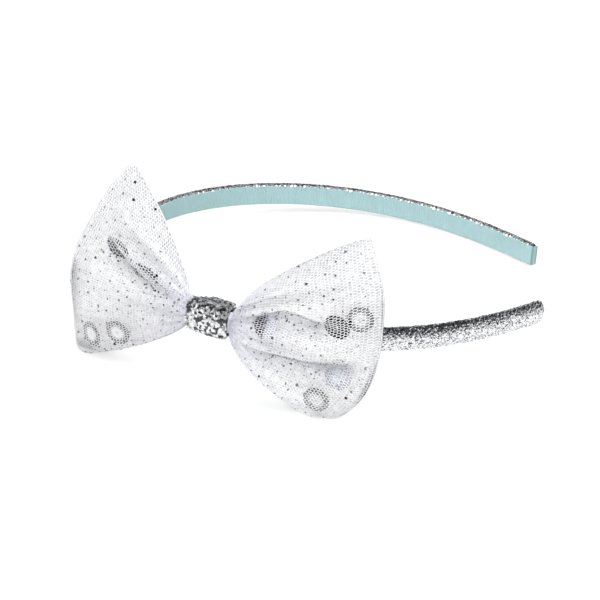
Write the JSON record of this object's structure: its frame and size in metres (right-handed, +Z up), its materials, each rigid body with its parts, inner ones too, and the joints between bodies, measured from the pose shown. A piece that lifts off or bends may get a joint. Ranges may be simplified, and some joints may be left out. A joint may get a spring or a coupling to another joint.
{
  "type": "bow headband",
  "caption": "Narrow curved headband in silver glitter cloth with a ribbed ribbon lining and a sequin-filled net bow tied to one side, lying on its side.",
  "frame": {"origin": "on the surface that the part lies on, under the middle of its box", "axes": "+Z up, +X from the top of the band towards its open tips, -Y towards the side with the bow"},
  "size_m": [0.1508, 0.1412, 0.0651],
  "materials": {
    "silver_glitter": "fine silver glitter on cloth",
    "aqua_ribbon": "ribbed matt ribbon",
    "coarse_glitter": "coarse silver glitter on cloth",
    "white_net": "white hexagonal net with glitter dots",
    "sequin_film": "mirror silver film"
  },
  "bodies": {
    "root": {"band_cover": "silver_glitter", "band_lining": "aqua_ribbon", "bow_knot": "coarse_glitter", "bow_loop_left": "white_net", "bow_loop_right": "white_net", "sequin_left_1": "sequin_film", "sequin_left_2": "sequin_film", "sequin_left_3": "sequin_film", "sequin_left_4": "sequin_film", "sequin_right_1": "sequin_film", "sequin_right_2": "sequin_film", "sequin_right_3": "sequin_film", "sequin_right_4": "sequin_film", "sequin_right_5": "sequin_film"}
  },
  "joints": []
}
